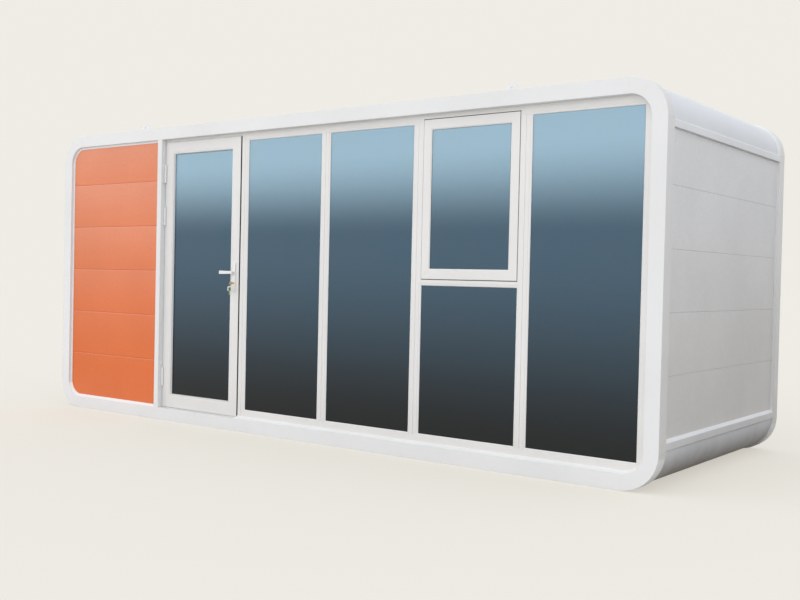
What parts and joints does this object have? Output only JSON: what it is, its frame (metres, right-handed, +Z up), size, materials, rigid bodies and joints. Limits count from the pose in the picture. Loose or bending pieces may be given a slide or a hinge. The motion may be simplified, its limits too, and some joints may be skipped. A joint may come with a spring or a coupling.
{
  "type": "container cabin",
  "caption": "Rounded container cabin with flat hoop frames, curved corner shells, insulated wall boards, a glazed front with an opening light and a hinged glass door.",
  "frame": {"origin": "on the ground, below the middle of the cabin", "axes": "+X along the length to the right seen from the front, -Y out of the glazed front, +Z up"},
  "size_m": [5.9, 2.26, 2.5509],
  "materials": {
    "hoop_paint": "satin white paint",
    "shell_paint": "satin white paint",
    "white_board": "embossed white coated sheet",
    "orange_board": "embossed orange coated sheet",
    "trim_paint": "satin white paint",
    "frame_coat": "powder coated aluminium",
    "tinted_glass": "blue tinted reflective double glass",
    "floor_board": "matt",
    "hardware_coat": "gloss white",
    "stay_steel": "brushed",
    "lock_brass": "satin"
  },
  "bodies": {
    "cabin": {"front_top_beam": "hoop_paint", "front_bottom_beam": "hoop_paint", "front_posts": "hoop_paint", "front_corner_pieces": "hoop_paint", "back_top_beam": "hoop_paint", "back_bottom_beam": "hoop_paint", "back_posts": "hoop_paint", "back_corner_pieces": "hoop_paint", "top_corner_shells": "shell_paint", "bottom_corner_shells": "shell_paint", "roof_panel": "shell_paint", "underfloor_pan": "shell_paint", "floor_deck": "floor_board", "end_rails": "hoop_paint", "left_end_boards": "white_board", "right_end_boards": "white_board", "end_sill_flashings": "trim_paint", "back_wall_boards": "white_board", "back_wall_trim": "trim_paint", "front_wall_boards": "orange_board", "front_wall_trim": "trim_paint", "door_post": "hoop_paint", "door_head": "frame_coat", "door_mullion": "frame_coat", "door_jamb_stops": "frame_coat", "door_head_stop": "frame_coat", "glazing_head": "frame_coat", "glazing_sill": "frame_coat", "glazing_mullions": "frame_coat", "right_jamb": "frame_coat", "transom": "frame_coat", "fixed_glass": "tinted_glass", "sash_stiles": "frame_coat", "sash_rails": "frame_coat", "sash_glass": "tinted_glass", "sash_stays": "stay_steel", "frame_hinges": "hardware_coat", "lifting_lugs": "hoop_paint"},
    "door": {"door_stiles": "frame_coat", "door_rails": "frame_coat", "door_glass": "tinted_glass", "door_hinges": "hardware_coat", "handle_plates": "hardware_coat", "lock_cylinder": "lock_brass"},
    "lever": {"lever_handle": "hardware_coat"}
  },
  "joints": [
    {"name": "door_hinge", "type": "hinge", "parent": "cabin", "child": "door", "pos_m": [-1.5625, -1.0945, 0], "axis": [0, 0, -1], "range_deg": [0, 100]},
    {"name": "lever_turn", "type": "hinge", "parent": "door", "child": "lever", "pos_m": [-0.706, -1.085, 1.272], "axis": [0, -1, 0], "range_deg": [0, 40], "stiffness_Nm_per_rad": 2, "springref_deg": -20.05}
  ]
}
